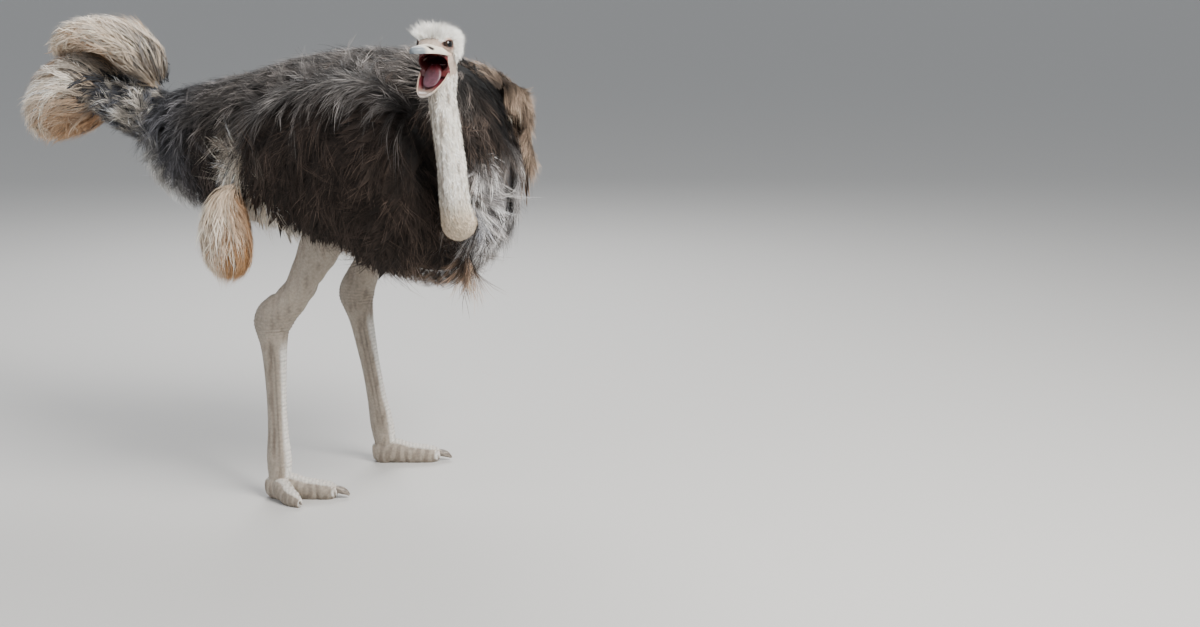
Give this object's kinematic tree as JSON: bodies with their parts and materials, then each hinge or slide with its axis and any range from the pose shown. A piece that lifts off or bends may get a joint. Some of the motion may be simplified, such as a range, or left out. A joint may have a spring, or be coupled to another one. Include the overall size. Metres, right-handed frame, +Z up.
{
  "type": "ostrich",
  "caption": "Life-size female ostrich standing with her neck bent back to the side and her bill wide open.",
  "frame": {"origin": "on the floor, under the middle of the bounding box", "axes": "+X the way the bird's body faces, +Y her left side, +Z up"},
  "size_m": [1.7764, 0.9106, 1.4282],
  "materials": {
    "body_plumage": "soft, loose contour feathers",
    "wing_plumage": "long, soft, hanging feathers",
    "white_plumes": "soft, open plumes",
    "neck_down": "short flat down over bare skin",
    "leg_skin": "dry, scaly bare skin",
    "bill_horn": "pale horn, satin",
    "tongue_flesh": "wet flesh",
    "eye_brown": "dark and wet",
    "claw_horn": "worn horn"
  },
  "bodies": {
    "root": {"trunk": "body_plumage", "tail_base": "body_plumage", "wing_left": "wing_plumage", "wing_right": "wing_plumage", "tail_plume_upper": "white_plumes", "tail_plume_lower": "white_plumes", "wing_plume_left": "white_plumes", "wing_plume_right": "white_plumes", "neck_base": "neck_down", "neck_middle": "neck_down", "neck_upper": "neck_down", "head": "neck_down", "crown": "neck_down", "leg_left_shank": "leg_skin", "leg_left_hock": "leg_skin", "leg_left_shin": "leg_skin", "leg_left_toe_main": "leg_skin", "leg_left_toe_outer": "leg_skin", "leg_left_claw": "claw_horn", "eye_left": "eye_brown", "leg_right_shank": "leg_skin", "leg_right_hock": "leg_skin", "leg_right_shin": "leg_skin", "leg_right_toe_main": "leg_skin", "leg_right_toe_outer": "leg_skin", "leg_right_claw": "claw_horn", "eye_right": "eye_brown", "bill_upper": "bill_horn", "bill_lower": "bill_horn", "tongue": "tongue_flesh"}
  },
  "joints": []
}
